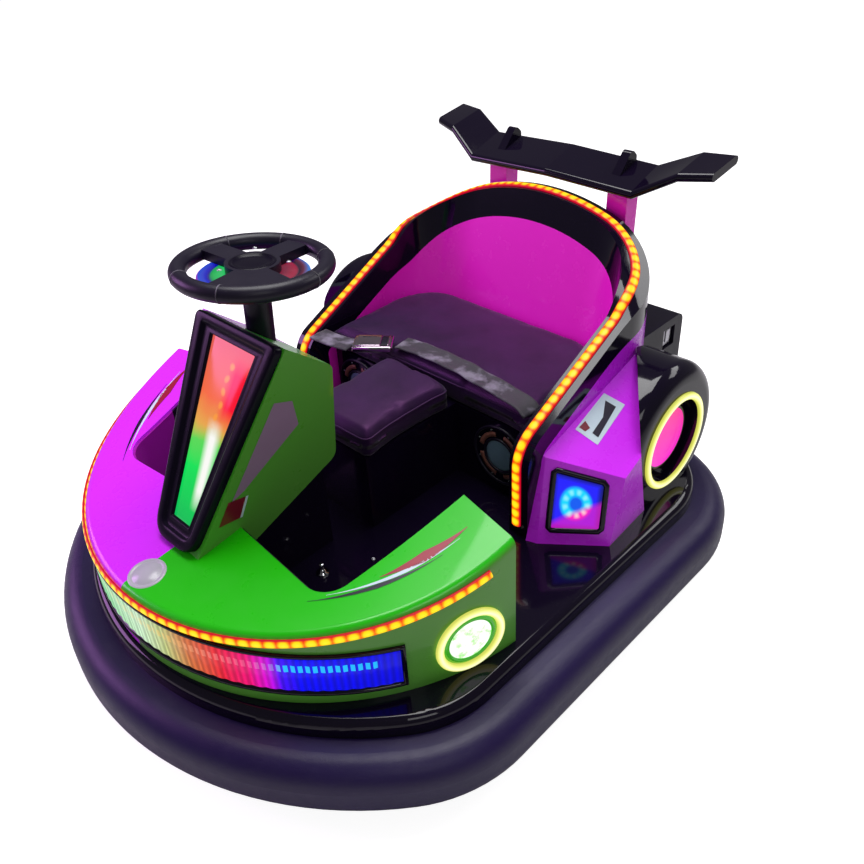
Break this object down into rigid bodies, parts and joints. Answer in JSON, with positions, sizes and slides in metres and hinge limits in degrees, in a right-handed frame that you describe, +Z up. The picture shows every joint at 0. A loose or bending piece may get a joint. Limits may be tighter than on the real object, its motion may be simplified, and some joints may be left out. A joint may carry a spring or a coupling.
{
  "type": "drift kart",
  "caption": "Battery drift kart for one rider: rubber bumper ring, moulded two-colour body, lit trim, bench seat, steering console, rear wing, drive wheel and casters.",
  "frame": {"origin": "on the floor, below the middle of the overall length and width", "axes": "+Z up, -Y forwards, +X towards the driver's left"},
  "size_m": [1.144, 1.3318, 0.7781],
  "materials": {
    "ring_rubber": "matte",
    "black_gloss": "gloss",
    "black_satin": "satin",
    "frame_steel": "satin",
    "green_gelcoat": "gloss",
    "magenta_gelcoat": "gloss",
    "vinyl": "satin",
    "webbing": "woven",
    "buckle_metal": "polished",
    "switch_chrome": "polished",
    "led_strip": "lit",
    "bar_lens": "lit",
    "halo_light": "lit",
    "lamp_lens": "lit",
    "pod_lens": "lit",
    "display": "lit",
    "wheel_light": "lit",
    "tyre_rubber": "matte",
    "motor_alloy": "cast",
    "zinc_steel": "plated",
    "caster_wheel": "matte",
    "battery_case": "matte"
  },
  "bodies": {
    "kart_body": {"bumper_ring": "ring_rubber", "base_pan": "black_gloss", "chassis_frame": "frame_steel", "front_cowl_left": "green_gelcoat", "front_cowl_right": "magenta_gelcoat", "cockpit_liner": "black_gloss", "console_left": "green_gelcoat", "console_right": "magenta_gelcoat", "console_frame": "black_gloss", "display_panel": "display", "console_pedestal": "black_gloss", "caster_plates": "zinc_steel", "hoop_trim": "black_gloss", "back_shell": "magenta_gelcoat", "back_panel": "magenta_gelcoat", "hoop_led_strip": "led_strip", "seat_pedestal": "black_gloss", "bench_cushion": "vinyl", "saddle_cushion": "vinyl", "battery_block": "battery_case", "side_pods": "magenta_gelcoat", "mock_wheels": "black_gloss", "mock_wheel_halos": "halo_light", "mock_wheel_hubs": "magenta_gelcoat", "tail_box": "black_satin", "wing": "black_gloss", "wing_posts": "magenta_gelcoat", "light_bar_bezel": "black_gloss", "light_bar_lens": "bar_lens", "cowl_led_strip": "led_strip", "headlamp_halos": "halo_light", "headlamp_lenses": "lamp_lens", "pod_lamp_bezels": "black_gloss", "pod_lamp_lenses": "pod_lens", "foot_switch": "switch_chrome", "belt_straps": "webbing", "belt_buckle": "buckle_metal"},
    "steering": {"steering_wheel": "black_satin", "wheel_light_disc": "wheel_light", "steering_column": "black_satin", "drive_fork": "frame_steel"},
    "drive_wheel": {"drive_tyre": "tyre_rubber", "drive_motor": "motor_alloy"},
    "caster_left": {"caster_fork_left": "zinc_steel"},
    "caster_wheel_left": {"caster_wheel_left": "caster_wheel"},
    "caster_right": {"caster_fork_right": "zinc_steel"},
    "caster_wheel_right": {"caster_wheel_right": "caster_wheel"}
  },
  "joints": [
    {"name": "steering_turn", "type": "hinge", "parent": "kart_body", "child": "steering", "pos_m": [0, -0.222, 0.756], "axis": [0, 0.0698, 0.9976], "range_deg": [-90, 90]},
    {"name": "drive_wheel_spin", "type": "hinge", "parent": "steering", "child": "drive_wheel", "pos_m": [0, -0.26962, 0.075], "axis": [1, 0, 0], "continuous": true},
    {"name": "caster_left_swivel", "type": "hinge", "parent": "kart_body", "child": "caster_left", "pos_m": [0.3, 0.371, 0.12], "axis": [0, 0, 1], "continuous": true},
    {"name": "caster_left_spin", "type": "hinge", "parent": "caster_left", "child": "caster_wheel_left", "pos_m": [0.3, 0.405, 0.05], "axis": [1, 0, 0], "continuous": true},
    {"name": "caster_right_swivel", "type": "hinge", "parent": "kart_body", "child": "caster_right", "pos_m": [-0.3, 0.371, 0.12], "axis": [0, 0, 1], "continuous": true},
    {"name": "caster_right_spin", "type": "hinge", "parent": "caster_right", "child": "caster_wheel_right", "pos_m": [-0.3, 0.405, 0.05], "axis": [1, 0, 0], "continuous": true}
  ]
}
